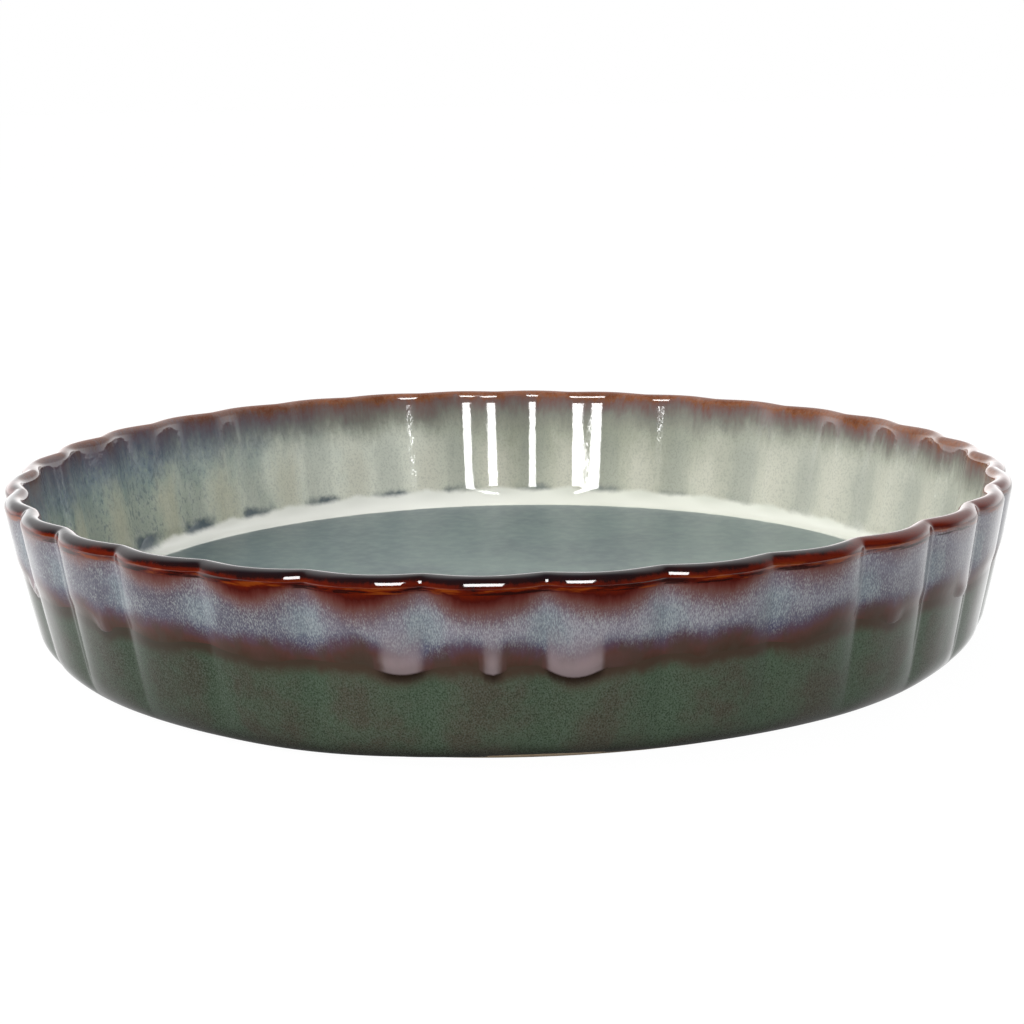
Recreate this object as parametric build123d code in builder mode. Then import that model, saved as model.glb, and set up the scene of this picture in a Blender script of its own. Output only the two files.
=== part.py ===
from build123d import *
import math
import os

os.makedirs("parts", exist_ok=True)

# A round stoneware quiche dish with a fluted, outward leaning wall.
# Millimetres, +Z up. The origin is the centre of the foot ring, on the table.
# Flute 0 faces -Y, and the others follow anticlockwise seen from above.

# Overall sizes, measured over the glaze: the rim at its widest, and the full height
rim_radius = 140.0
dish_height = 47.5
wall_lean = 11.2

# Flutes
flute_count = 32
flute_depth_at_rim = 2.6
flute_depth_at_base = 0.9
groove_radius = 1.6

# Clay body
clay_wall = 3.8
clay_floor_top = 7.4
corner_radius = 12.5
cove_radius = 7.6
foot_ring_width = 9.0
recess_depth = 1.6
recess_slope_run = 2.0

# Where a turned corner meets the flutes
corner_bite = 0.3
run_out_height = 4.0
run_out_clearance = 1.0

# Glaze coats
base_coat = 0.4
flow_coat = 0.4
lining_coat = 0.6
pool_coat = 0.5
pool_edge_radius = 0.3
pool_margin = 1.2
bare_clay_height = 1.0
underside_bare_height = 0.7

# Lower edges of the two upper glazes: the rim band is level, the flow hangs in tongues
rim_band_height = 5.0
flow_band_height = 17.5
flow_tongue_drop = 7.5
tongue_width_share = 0.8
tongue_drop_shares = (1.0, 0.95, 0.55, 0.4, 0.5, 0.35, 0.45, 0.85)

# Cutting forms reach past what they cut by this much
overrun = 3.0

# Derived sizes
rim_coat = base_coat + flow_coat
clay_groove_radius = groove_radius + rim_coat
half_pitch = math.pi / flute_count
lean_angle = math.radians(wall_lean)
lean = math.tan(lean_angle)
rim_line = dish_height - rim_band_height

# The glazed lip is a half round about the leaning wall, and its side is the widest place
glazed_wall = clay_wall + rim_coat + lining_coat
lip_radius = glazed_wall * math.cos(lean_angle) / 2
lip_middle_shift = rim_coat - glazed_wall / 2
clay_base_radius = (
    rim_radius - lip_radius - lip_middle_shift - lean * (dish_height - lip_radius)
)


def lobe_radius(height, shift):
    """Radius of the lobe tips at a height, for a face that lies shift outside the clay."""
    return clay_base_radius + lean * height + shift


def flute_depth(height):
    return flute_depth_at_base + (flute_depth_at_rim - flute_depth_at_base) * height / dish_height


def corner_centre_radius(centre_height, shift, corner):
    """How far from the axis a turned corner has its centre, to end just inside the lobes."""
    return lobe_radius(centre_height, shift) - corner_bite - corner / math.cos(lean_angle)


def turn(x, y, angle):
    """A point of one flute, turned about the dish's axis."""
    return (
        x * math.cos(angle) - y * math.sin(angle),
        x * math.sin(angle) + y * math.cos(angle),
    )


def fluted_section(height, shift):
    """A level section: wide round lobes with a narrow round groove between each two."""
    tip = lobe_radius(height, shift)
    valley = tip - flute_depth(height)
    groove = clay_groove_radius - shift
    groove_centre = valley + groove
    # The lobe's arc passes its tip and touches the groove's arc.
    lobe_centre = ((tip + groove) ** 2 - groove_centre**2) / (
        2 * (tip + groove - groove_centre * math.cos(half_pitch))
    )
    across = groove_centre * math.cos(half_pitch) - lobe_centre
    along = groove_centre * math.sin(half_pitch)
    touch_share = (tip - lobe_centre) / math.hypot(across, along)
    touch_x = lobe_centre + across * touch_share
    touch_y = along * touch_share
    with BuildSketch(Plane.XY.offset(height)) as section:
        with BuildLine():
            for flute in range(flute_count):
                middle = 2 * half_pitch * flute - math.pi / 2
                lobe_end = turn(touch_x, touch_y, middle)
                ThreePointArc(turn(touch_x, -touch_y, middle), turn(tip, 0, middle), lobe_end)
                ThreePointArc(
                    lobe_end,
                    turn(valley, 0, middle + half_pitch),
                    turn(touch_x, -touch_y, middle + 2 * half_pitch),
                )
        make_face()
    return section.sketch


def fluted_form(shift, bottom, corner):
    """A fluted plug up to the rim line, shift outside the clay, turned round at its lower corner."""
    centre_height = bottom + corner
    centre_radius = corner_centre_radius(centre_height, shift, corner)
    middle_angle = (math.pi / 2 + lean_angle) / 2
    middle_point = (
        centre_radius + corner * math.cos(middle_angle),
        centre_height - corner * math.sin(middle_angle),
    )
    end_point = (
        centre_radius + corner * math.cos(lean_angle),
        centre_height - corner * math.sin(lean_angle),
    )
    clear_height = end_point[1] + run_out_height
    clear_radius = lobe_radius(clear_height, shift) + run_out_clearance
    top_radius = lobe_radius(dish_height, shift) + run_out_clearance
    with BuildPart() as form:
        loft(sections=[fluted_section(bottom, shift), fluted_section(rim_line, shift)], ruled=True)
        with BuildSketch(Plane.XZ):
            with BuildLine():
                Line((0, bottom), (centre_radius, bottom))
                ThreePointArc((centre_radius, bottom), middle_point, end_point)
                Polyline(
                    end_point,
                    (clear_radius, clear_height),
                    (top_radius, dish_height),
                    (0, dish_height),
                    (0, bottom),
                )
            make_face()
        revolve(axis=Axis.Z, mode=Mode.INTERSECT)
    return form.part


def outside_form(coat):
    """All that lies within the outside of the dish under a coat of glaze."""
    return fluted_form(coat, -coat, corner_radius + coat)


def inside_form(coat):
    """The hollow of the dish over a coat of glaze."""
    return fluted_form(-clay_wall - coat, clay_floor_top + coat, cove_radius - coat)


def lip_profile(outer_shift, inner_shift, top):
    """A cut across the lip above the rim line: two leaning sides and a half round between them."""
    radius = (outer_shift - inner_shift) * math.cos(lean_angle) / 2
    centre_y = top - rim_line - radius
    centre_x = (outer_shift + inner_shift) / 2 + lean * centre_y
    side_x = radius * math.cos(lean_angle)
    side_y = radius * math.sin(lean_angle)
    with BuildSketch() as profile:
        with BuildLine():
            Polyline(
                (centre_x - side_x, centre_y + side_y),
                (inner_shift, 0),
                (outer_shift, 0),
                (centre_x + side_x, centre_y - side_y),
            )
            ThreePointArc(
                (centre_x + side_x, centre_y - side_y),
                (centre_x + side_y, centre_y + side_x),
                (centre_x - side_x, centre_y + side_y),
            )
        make_face()
    return profile.sketch


def curtain_form(crest, tongue_drop):
    """The space above a scalloped edge, level at the grooves and hanging down on each lobe."""
    inner_radius = lobe_radius(0, 0) - corner_radius
    outer_radius = rim_radius + overrun
    flat_half = outer_radius * math.tan(half_pitch)
    tongue_half = flat_half * tongue_width_share
    with BuildPart() as curtain:
        with BuildSketch(Plane.XY.offset(crest)):
            Circle(outer_radius)
            Circle(inner_radius, mode=Mode.SUBTRACT)
        extrude(amount=dish_height + overrun - crest)
        for flute in range(flute_count):
            drop = tongue_drop * tongue_drop_shares[flute % len(tongue_drop_shares)]
            facing = 2 * half_pitch * flute - math.pi / 2
            outward = (math.cos(facing), math.sin(facing), 0)
            sideways = (-math.sin(facing), math.cos(facing), 0)
            start = (inner_radius * outward[0], inner_radius * outward[1], crest)
            with BuildSketch(Plane(origin=start, x_dir=sideways, z_dir=outward)):
                with BuildLine():
                    for side in (-1, 1):
                        shoulder = (side * tongue_half, 0)
                        halfway = (side * tongue_half / 2, -drop / 2)
                        Line((side * flat_half, 0), shoulder)
                        TangentArc(shoulder, halfway, tangent=(-side, 0))
                        TangentArc((0, -drop), halfway, tangent=(side, 0))
                    Polyline(
                        (-flat_half, 0),
                        (-flat_half, overrun / 2),
                        (flat_half, overrun / 2),
                        (flat_half, 0),
                    )
                make_face()
        extrude(amount=outer_radius - inner_radius)
    return curtain.part


# Forms that several pieces share, so that their faces meet exactly
clay_outside = outside_form(0)
base_outside = outside_form(base_coat)
flow_outside = outside_form(rim_coat)
clay_inside = inside_form(0)
lined_inside = inside_form(lining_coat)

# The lip's cuts are carried round the clay's fluted outline at the rim line
rim_path = fluted_section(rim_line, 0).wire()
along_rim = rim_path % 0
rim_plane = Plane(origin=rim_path @ 0, x_dir=along_rim.cross(Vector(0, 0, 1)), z_dir=-along_rim)
clay_lip = lip_profile(0, -clay_wall, dish_height - rim_coat)
glazed_lip = lip_profile(rim_coat, -clay_wall - lining_coat, dish_height)

# Stoneware body: the pressed clay dish, with a bare foot ring and a shallow recess below
foot_outer_radius = corner_centre_radius(corner_radius, 0, corner_radius)
foot_inner_radius = foot_outer_radius - foot_ring_width
recess_top_radius = foot_inner_radius - recess_slope_run
with BuildPart() as stoneware_body:
    add(clay_outside)
    add(clay_inside, mode=Mode.SUBTRACT)
    with BuildSketch(rim_plane):
        add(clay_lip)
    sweep(path=rim_path)
    with BuildSketch(Plane.XZ):
        with BuildLine():
            Polyline(
                (0, 0),
                (foot_inner_radius, 0),
                (recess_top_radius, recess_depth),
                (0, recess_depth),
                close=True,
            )
        make_face()
    revolve(axis=Axis.Z, mode=Mode.SUBTRACT)

# Base glaze: the thin green coat on the whole outside, down to the bare clay line
with BuildPart() as base_glaze:
    add(base_outside)
    add(clay_outside, mode=Mode.SUBTRACT)
    split(bisect_by=Plane.XY.offset(bare_clay_height), keep=Keep.TOP)

# Flow glaze: the second coat, which ran down over the first and stopped in tongues
with BuildPart() as flow_glaze:
    add(flow_outside)
    add(base_outside, mode=Mode.SUBTRACT)
    add(curtain_form(dish_height - flow_band_height, flow_tongue_drop), mode=Mode.INTERSECT)

# Rim glaze: the brown band that wraps the rounded lip from outside to inside
with BuildPart() as rim_glaze:
    with BuildSketch(rim_plane):
        add(glazed_lip)
        add(clay_lip, mode=Mode.SUBTRACT)
    sweep(path=rim_path)

# Lining glaze: the pale coat on the inner wall, the cove and the floor
with BuildPart() as lining_glaze:
    add(clay_inside)
    add(lined_inside, mode=Mode.SUBTRACT)

# Floor pool glaze: the blue-green glass that ran together on the level floor
pool_level = clay_floor_top + lining_coat
lined_cove = cove_radius - lining_coat
level_floor_radius = corner_centre_radius(
    pool_level + lined_cove, -clay_wall - lining_coat, lined_cove
)
with BuildPart() as floor_pool_glaze:
    with BuildSketch(Plane.XY.offset(pool_level)):
        Circle(level_floor_radius - pool_margin)
    extrude(amount=pool_coat)
    fillet(floor_pool_glaze.edges().group_by(Axis.Z)[-1], radius=pool_edge_radius)

# Underside glaze: the coat in the recess, wiped clear of the foot ring
underside_lip_radius = (
    foot_inner_radius - recess_slope_run * underside_bare_height / recess_depth
)
with BuildPart() as underside_glaze:
    with BuildSketch(Plane.XZ):
        with BuildLine():
            Polyline(
                (0, recess_depth),
                (recess_top_radius, recess_depth),
                (underside_lip_radius, underside_bare_height),
                (underside_lip_radius - base_coat, underside_bare_height),
                (recess_top_radius - base_coat, recess_depth - base_coat),
                (0, recess_depth - base_coat),
                close=True,
            )
        make_face()
    revolve(axis=Axis.Z)

stoneware_body.part.label = "stoneware_body"
export_step(stoneware_body.part, "parts/stoneware_body.step")

base_glaze.part.label = "base_glaze"
export_step(base_glaze.part, "parts/base_glaze.step")

flow_glaze.part.label = "flow_glaze"
export_step(flow_glaze.part, "parts/flow_glaze.step")

rim_glaze.part.label = "rim_glaze"
export_step(rim_glaze.part, "parts/rim_glaze.step")

lining_glaze.part.label = "lining_glaze"
export_step(lining_glaze.part, "parts/lining_glaze.step")

floor_pool_glaze.part.label = "floor_pool_glaze"
export_step(floor_pool_glaze.part, "parts/floor_pool_glaze.step")

underside_glaze.part.label = "underside_glaze"
export_step(underside_glaze.part, "parts/underside_glaze.step")
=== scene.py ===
# %% [markdown]
# # A fluted quiche dish, pressed in a mould and glazed by hand
#
# The frame gives the dish its size and its named pieces. This lesson gives it its looks.
# Each glaze coat is modelled as a thin shell that lies on the one below it, because on the
# real dish the coats are separate layers that overlap, run and pool. The frame's own pieces
# stay where they are, and each shell says which of them it replaces.

import math

import bpy
import numpy as np
from mathutils import Matrix, Vector


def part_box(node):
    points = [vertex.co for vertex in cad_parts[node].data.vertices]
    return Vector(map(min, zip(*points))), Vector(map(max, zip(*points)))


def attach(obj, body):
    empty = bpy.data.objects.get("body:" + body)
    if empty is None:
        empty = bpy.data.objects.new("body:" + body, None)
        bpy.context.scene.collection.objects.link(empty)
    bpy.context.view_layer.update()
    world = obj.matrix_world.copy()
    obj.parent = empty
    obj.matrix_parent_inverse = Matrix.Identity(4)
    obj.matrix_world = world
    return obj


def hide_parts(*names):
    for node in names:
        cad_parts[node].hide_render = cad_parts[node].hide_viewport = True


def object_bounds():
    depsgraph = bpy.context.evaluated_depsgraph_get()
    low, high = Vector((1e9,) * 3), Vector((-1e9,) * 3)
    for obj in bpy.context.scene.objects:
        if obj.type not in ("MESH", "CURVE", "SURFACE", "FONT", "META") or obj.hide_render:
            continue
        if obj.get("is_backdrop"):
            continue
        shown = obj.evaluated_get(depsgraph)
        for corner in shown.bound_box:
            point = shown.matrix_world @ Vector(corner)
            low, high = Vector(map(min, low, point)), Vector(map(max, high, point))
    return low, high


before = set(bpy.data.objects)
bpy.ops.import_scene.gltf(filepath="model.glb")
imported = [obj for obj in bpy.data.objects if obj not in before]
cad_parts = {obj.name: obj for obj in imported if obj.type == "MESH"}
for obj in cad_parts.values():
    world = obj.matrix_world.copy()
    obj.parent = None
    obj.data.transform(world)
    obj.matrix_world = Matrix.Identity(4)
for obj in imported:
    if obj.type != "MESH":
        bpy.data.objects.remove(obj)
cad_low, cad_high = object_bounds()
bpy.ops.object.select_all(action="DESELECT")
print("The frame's box in mm:", [round(1000 * size) for size in cad_high - cad_low])

# %% [markdown]
# ## The sizes of the real dish
#
# The dish was pressed by hand and moved a little in the kiln. So the mean rim is a little
# narrower and lower than the frame's box, which holds the highest and widest places.
# Every number here is a size that could be measured on the dish, in metres.

# %% Sizes
MM = 0.001
FLUTES = 32
HALF_PITCH = math.pi / FLUTES
kiln_swell = 1.1 * MM
kiln_lift = 1.3 * MM
rim_radius = cad_high.x - kiln_swell
rim_height = cad_high.z - kiln_lift
rim_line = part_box("rim_glaze")[0].z
bare_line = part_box("base_glaze")[0].z
floor_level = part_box("floor_pool_glaze")[0].z
wall = 5.0 * MM
lean = math.radians(11.26)
bulge = 0.55 * MM
photo_turn = math.radians(2.5)
clay_corner = 12.0 * MM
cove = 7.0 * MM
dent_at_rim = 2.4 * MM
dent_at_foot = 0.9 * MM
wave_inside = 2.2 * MM
groove_softness = 0.055
base_under = 0.38 * MM
clay_under = 0.8 * MM
lining_under = 0.6 * MM

lip_level = rim_height - wall / 2
foot_line_radius = rim_radius - lip_level * math.tan(lean)
corner_x = foot_line_radius + clay_corner * math.tan(lean) - (clay_corner + clay_under) / math.cos(lean)
cove_z = floor_level + cove
cove_x = foot_line_radius + cove_z * math.tan(lean) - (wall + cove) / math.cos(lean)
lip_x = rim_radius - wall / 2 / math.cos(lean)
print("Foot ring", round(2000 * corner_x), "mm across, floor", round(2000 * cove_x), "mm across")

# %% [markdown]
# ## Drawing a profile and spinning it
#
# A potter's dish starts as a profile turned about its axis. Here a plane is merged to one
# point, the point is extruded along the profile, and the line is spun in a full turn.
# There are 24 columns of faces to a flute, enough for smooth reflections in a glossy glaze.

# %% The spinning wheel
COLUMNS_PER_FLUTE = 24


def spin_profile(name, profile, closed=True, columns=FLUTES * COLUMNS_PER_FLUTE):
    """Draws a profile of (radius, height) points by extruding, and spins it to a solid."""
    bpy.ops.object.select_all(action="DESELECT")
    bpy.ops.mesh.primitive_plane_add(size=MM, location=(0, 0, 0))
    piece = bpy.context.object
    piece.name = name
    bpy.ops.object.mode_set(mode="EDIT")
    bpy.ops.mesh.select_mode(type="VERT")
    bpy.ops.mesh.select_all(action="SELECT")
    bpy.ops.mesh.merge(type="CENTER")
    bpy.ops.transform.translate(value=(profile[0][0], 0, profile[0][1]))
    route = list(profile) + ([profile[0]] if closed else [])
    for (r0, z0), (r1, z1) in zip(route, route[1:]):
        bpy.ops.mesh.extrude_vertices_move(TRANSFORM_OT_translate={"value": (r1 - r0, 0, z1 - z0)})
    bpy.ops.mesh.select_all(action="SELECT")
    bpy.ops.mesh.remove_doubles(threshold=0.001 * MM)
    bpy.ops.mesh.select_all(action="SELECT")
    bpy.ops.mesh.spin(steps=columns, angle=2 * math.pi, center=(0, 0, 0), axis=(0, 0, 1))
    bpy.ops.mesh.select_all(action="SELECT")
    bpy.ops.mesh.remove_doubles(threshold=0.01 * MM)
    bpy.ops.mesh.normals_make_consistent(inside=False)
    bpy.ops.object.mode_set(mode="OBJECT")
    return piece


print("The wheel turns in", FLUTES * COLUMNS_PER_FLUTE, "steps")

# %% [markdown]
# ### The lines of the profile
#
# Every coat follows the same three lines, only at its own depth under the glazed face.
# So each line is a function of that depth, and the coats nest without a gap.

# %% Profile lines
def outside_line(under, bottom, top, steps):
    """Up the outside, under the glazed face: the turned corner, then the leaning wall."""
    radius = clay_corner + clay_under - under
    start = math.asin(max(-1.0, min(0.0, (bottom - clay_corner) / radius)))
    turns = max(3, steps // 3)
    points = [
        (corner_x + radius * math.cos(angle), clay_corner + radius * math.sin(angle))
        for angle in np.linspace(start, -lean, turns)
    ]
    foot = points[-1][1]
    heights = np.linspace(foot, top, steps)[1:]
    face = foot_line_radius - under / math.cos(lean)
    return points + [(face + math.tan(lean) * z, z) for z in heights]


def lip_line(under, steps):
    """Over the half round lip, from its outside to its inside."""
    radius = wall / 2 - under
    return [
        (lip_x + radius * math.cos(angle), lip_level + radius * math.sin(angle))
        for angle in np.linspace(-lean, math.pi - lean, steps)
    ]


def inside_line(under, top, steps):
    """Down the inside: the leaning wall, then the cove, to the edge of the level floor."""
    face = foot_line_radius - (wall - under) / math.cos(lean)
    radius = cove + under
    foot = cove_z - radius * math.sin(lean)
    points = [(face + math.tan(lean) * z, z) for z in np.linspace(top, foot, steps)[:-1]]
    return points + [
        (cove_x + radius * math.cos(angle), cove_z + radius * math.sin(angle))
        for angle in np.linspace(-lean, -math.pi / 2, max(4, steps // 3))
    ]


lip_top = max(height for radius, height in lip_line(0, 25))
print("The top of the lip is", round(1000 * lip_top, 1), "mm above the table")

# %% [markdown]
# ## Pressing the flutes
#
# The mould has 32 wide lobes with a narrow groove between each two. Inside, each groove
# shows as a soft rounded ridge. Hand-cut moulds aren't quite even: towards the back the
# flutes drift by 1.3 degrees, and one ridge at the back left is shallower.
# No brush in Blender presses even grooves into a leaning wall, so a rule moves the points.

# %% The mould
lean_run = math.tan(lean)
drift = math.radians(1.3)


def soft_step(value, start, end):
    """0 at the start and 1 at the end, with a soft turn at both."""
    share = np.clip((value - start) / (end - start), 0, 1)
    return share * share * (3 - 2 * share)


def drifted(angle):
    """The angle at which an even mould would have what this one has here."""
    return angle + drift * (1 - np.cos(angle)) / 2


def lobe(angle):
    """1 in the middle of a lobe and 0 in a groove. A lobe faces -Y."""
    round_cosine = np.sqrt(np.cos(FLUTES * drifted(angle) / 2) ** 2 + groove_softness**2)
    return (round_cosine - groove_softness) / (math.sqrt(1 + groove_softness**2) - groove_softness)


def dent(angle, height):
    """How far the outside lies in from the lobes' tips."""
    share = np.clip(height / lip_level, 0, 1)
    unevenness = 1 + 0.06 * np.sin(3 * angle + 1.0) + 0.05 * np.sin(7 * angle + 2.0)
    return (dent_at_foot + (dent_at_rim - dent_at_foot) * share) * unevenness * (1 - lobe(angle)) ** 1.4


def dent_inside(angle, height):
    """The inside has soft even waves, because the lining glaze fills their hollows."""
    share = np.clip(height / lip_level, 0, 1)
    unevenness = 1 + 0.08 * np.sin(3 * angle + 1.0) + 0.06 * np.sin(7 * angle + 2.0)
    unevenness -= 0.40 * np.exp(-(((angle + 2.78) / 0.09) ** 2))
    wave = (1 - np.cos(FLUTES * drifted(angle))) / 2
    return wave_inside * (0.85 + 0.15 * share) * unevenness * wave


print("The grooves are up to", round(1000 * dent_at_rim, 1), "mm deep at the rim")

# %% [markdown]
# ### What the kiln did
#
# Stoneware softens in the kiln. This dish came out a little oval, and the back left of its
# rim stands about a millimetre high. A few slow waves round the dish say so.

# %% The kiln
def kiln_warp(angle, radius, height):
    """How far the kiln moved a point outwards and upwards."""
    turned = angle - photo_turn
    share = np.clip(height / rim_height, 0, 1) * soft_step(radius, 114 * MM, 126 * MM)
    up = (0.20 * np.cos(turned) - 0.99 * np.sin(turned) - 0.11 * np.cos(2 * turned)
          + 0.60 * np.sin(2 * turned) - 0.07 * np.cos(3 * turned))
    out = 0.54 * np.cos(2 * turned) - 0.89 * np.sin(2 * turned)
    swell = bulge * 4 * share * (1 - share)
    return out * MM * share + swell, up * MM * share


round_the_dish = np.linspace(-math.pi, math.pi, 361)
rim_lift = kiln_warp(round_the_dish, rim_radius, rim_height)[1]
print("The kiln lifts the rim by up to", round(1000 * rim_lift.max(), 1), "mm")

# %% [markdown]
# ### Where the flow glaze stopped
#
# The upper glaze ran down while it melted. Its edge wanders by less than a millimetre, and
# here and there it ran on in a tongue. Each tongue has a place in degrees round the dish
# from the front, a width in mm and a reach in mm.

# %% The flow's edge
flow_edge = 25.6 * MM
tongues = [
    (-8.2, 15, 2.5), (0.6, 7, 2.6), (8.1, 15, 4.0), (20.6, 6, 1.2), (-21.0, 16, 0.8),
    (31.0, 14, 0.8), (-34.0, 14, 1.0), (44.0, 9, 1.6), (-43.0, 8, 1.8), (58.0, 12, 2.2),
    (-62.0, 10, 2.4), (75.0, 9, 1.8), (-80.0, 12, 2.0), (97.0, 14, 3.0), (-101.0, 9, 2.6),
    (118.0, 10, 2.2), (-124.0, 13, 3.2), (139.0, 15, 3.4), (-143.0, 8, 2.0), (160.0, 9, 2.6),
    (-165.0, 12, 3.0), (178.0, 8, 1.6),
]


def flow_low(angle):
    """The height of the flow glaze's lower edge."""
    low = np.full_like(angle, flow_edge)
    low += (0.35 * np.sin(9 * angle + 1.3) + 0.3 * np.sin(21 * angle) + 0.25 * np.sin(37 * angle + 2)) * MM
    for place, width, reach in tongues:
        off = (angle - math.radians(place) + math.pi) % (2 * math.pi) - math.pi
        across = np.abs(off) * rim_radius / (width * MM / 2)
        drop = np.clip(1 - across**2, 0, 1) ** 1.2
        skirt = np.exp(-((across / 1.6) ** 2))
        low -= reach * MM * (0.55 * drop + 0.45 * skirt)
    return low


def tongue_share(angle):
    """1 where the edge hangs in a tongue, 0 where it doesn't."""
    return soft_step((flow_edge - flow_low(angle)) / MM, 0.9, 2.5)


lowest = flow_low(round_the_dish).min()
print(len(tongues), "tongues, and the lowest is", round(1000 * lowest, 1), "mm above the table")

# %% [markdown]
# ### Shaping the points of a piece
#
# A spun piece is read as angle, radius and height, because that is how a potter sees it.
# Each point also keeps a few numbers in mm, such as its depth below the lip. The
# materials read these later, so that the colours sit where the forms are.

# %% Reading and writing points
def read_points(piece):
    """The angle from -Y towards +X, the radius and the height of each point."""
    points = np.empty(len(piece.data.vertices) * 3)
    piece.data.vertices.foreach_get("co", points)
    x, y, z = points.reshape(-1, 3).T
    return np.arctan2(x, -y), np.hypot(x, y), z


def write_points(piece, angle, radius, height):
    points = np.column_stack((radius * np.sin(angle), -radius * np.cos(angle), height))
    piece.data.vertices.foreach_set("co", points.ravel())
    piece.data.update()


def keep_values(piece, **values):
    """Keeps a number on each point, for the glaze to read."""
    for name, numbers in values.items():
        attribute = piece.data.attributes.new(name, "FLOAT", "POINT")
        attribute.data.foreach_set("value", numbers.astype(np.float32))


print("Angles start at the front, -Y, and grow towards +X, as in", np.arctan2((0, 1, 0), (1, 0, -1)))

# %% [markdown]
# ### Press and fire
#
# In order: the glaze edge finds its level, the flutes are pressed in, the glaze gets its
# relief, and the kiln warps the whole. Every coat goes through the same steps, so they
# stay in contact.

# %% Press and fire
def press_and_fire(piece, relief=None, level=None):
    """Presses the flutes into a spun piece and fires it. Relief raises the glaze."""
    angle, radius, height = read_points(piece)
    across = angle / HALF_PITCH
    angle = angle + 0.5 * HALF_PITCH * np.sin(math.pi * across) / math.pi * (radius > MM)
    if level is not None:
        new_height = level(angle, height)
        radius = radius + (new_height - height) * lean_run
        height = new_height
    face = foot_line_radius + lean_run * np.minimum(height, lip_level)
    inward = np.clip((face - radius) * math.cos(lean) / wall, 0, 1)
    outer = dent(angle, height) * soft_step(height, 1.5 * MM, 8.5 * MM)
    inner = dent_inside(angle, height)
    inner = inner * soft_step(height, floor_level, floor_level + 6 * MM)
    inner = inner * soft_step(radius, cove_x, cove_x + 5 * MM)
    inside = inward > 0.5
    at_wall = radius > corner_x - 8 * MM
    moved_in = np.where(height > lip_level, outer + (inner - outer) * inward,
                        np.where(inside, inner, outer)) * at_wall
    if relief is not None:
        radius = radius + relief(angle, radius, height)
    keep_values(piece, depth=(rim_height - height) / MM, inside=inward,
                groove=1 - lobe(angle), above=(height - flow_low(angle)) / MM,
                thick=tongue_share(angle))
    out, up = kiln_warp(angle, radius, height)
    write_points(piece, angle, radius - moved_in + out, height + up)
    bpy.ops.object.select_all(action="DESELECT")
    piece.select_set(True)
    bpy.context.view_layer.objects.active = piece
    bpy.ops.object.shade_smooth_by_angle(angle=math.radians(40))
    print(piece.name, "has", len(piece.data.polygons), "faces")
    return piece


def seat(piece, slot, *nodes):
    """The piece rides on the dish and stands for its CAD nodes."""
    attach(piece, "root")
    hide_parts(*nodes)


print("The wall leans out by", round(lean_run, 3), "mm for each mm of height")

# %% [markdown]
# ## The clay body
#
# Almost all of it is under glaze. What shows is the foot ring and a thin line of bare clay
# above it, where the glaze was wiped off so that the dish wouldn't stick to the kiln shelf.

# %% Stoneware body
foot_width = 9.0 * MM
recess = 1.6 * MM
body_profile = (
    [(0, floor_level - lining_under)]
    + inside_line(lining_under, rim_line, 20)[::-1]
    + lip_line(clay_under, 9)[::-1]
    + outside_line(clay_under, 0, rim_line, 24)[::-1]
    + [(corner_x - foot_width, 0), (corner_x - foot_width - 2 * MM, recess), (0, recess)]
)
stoneware_body = spin_profile("dish_clay_body", body_profile, columns=FLUTES * 12)
press_and_fire(stoneware_body)
seat(stoneware_body, "bare_stoneware", "stoneware_body")

# %% [markdown]
# ## The base glaze
#
# The whole outside was dipped in a dark grey-green glaze. Its lower edge is rounded,
# because melted glaze draws itself into a bead where it stops.

# %% Base glaze
edge_round = 0.9 * MM


def base_edge(angle, radius, height):
    """The coat thins in a quarter round to its lower edge, which wanders a little."""
    near = np.clip((height - bare_line) / edge_round, 0, 1)
    thin = 1 - np.sqrt(1 - (1 - near) ** 2)
    return -0.4 * MM * thin * (height < bare_line + edge_round)


def wander_bare_line(angle, height):
    wander = 0.85 * np.exp(-(((angle - 0.12) / 0.3) ** 2)) + 0.35 * np.cos(2 * angle - 2.8)
    wander += 0.2 * np.sin(5 * angle + 0.4) + 0.15 * np.sin(11 * angle + 2.1)
    near = 1 - soft_step(height, bare_line, bare_line + 8 * MM)
    return height + np.maximum(wander, -0.6) * MM * near


base_profile = outside_line(base_under, bare_line, rim_line, 46)
base_back = outside_line(clay_under + 0.05 * MM, bare_line, rim_line, 12)
base_glaze = spin_profile("green_base_coat", base_profile + base_back[::-1])
press_and_fire(base_glaze, relief=base_edge, level=wander_bare_line)
seat(base_glaze, "green_base_glaze", "base_glaze")

# %% [markdown]
# ## The flow glaze
#
# A second, runnier glaze was laid over the upper half. It ran down while it melted and
# froze in tongues. Each tongue ends in a raised round bead, and between the tongues the
# coat thins out to nothing. Its rows of faces are closest at the edge, for the bead.

# %% Flow glaze
def flow_level(angle, height):
    """Stretches the coat so that its lowest row follows the tongues."""
    return rim_line - (rim_line - height) * (rim_line - flow_low(angle)) / (rim_line - flow_edge)


def flow_relief(angle, radius, height):
    """A thin coat that swells to a bead and turns under at its edge. The back stays put."""
    above = (height - flow_low(angle)) / MM
    face = foot_line_radius + lean_run * height
    front = (face - radius) < 0.2 * MM
    thick = tongue_share(angle)
    bead = 0.55 * thick * np.exp(-(((above - 2.2) / 1.9) ** 2))
    turn_under = 1 - np.sqrt(1 - (1 - np.clip(above / 1.0, 0, 1)) ** 2)
    feather = 1 - soft_step(above, 0.0, 5.0)
    sunk = turn_under * thick + feather * (1 - thick)
    return (bead * (above > 0.05) - 0.40 * sunk) * MM * front


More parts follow.
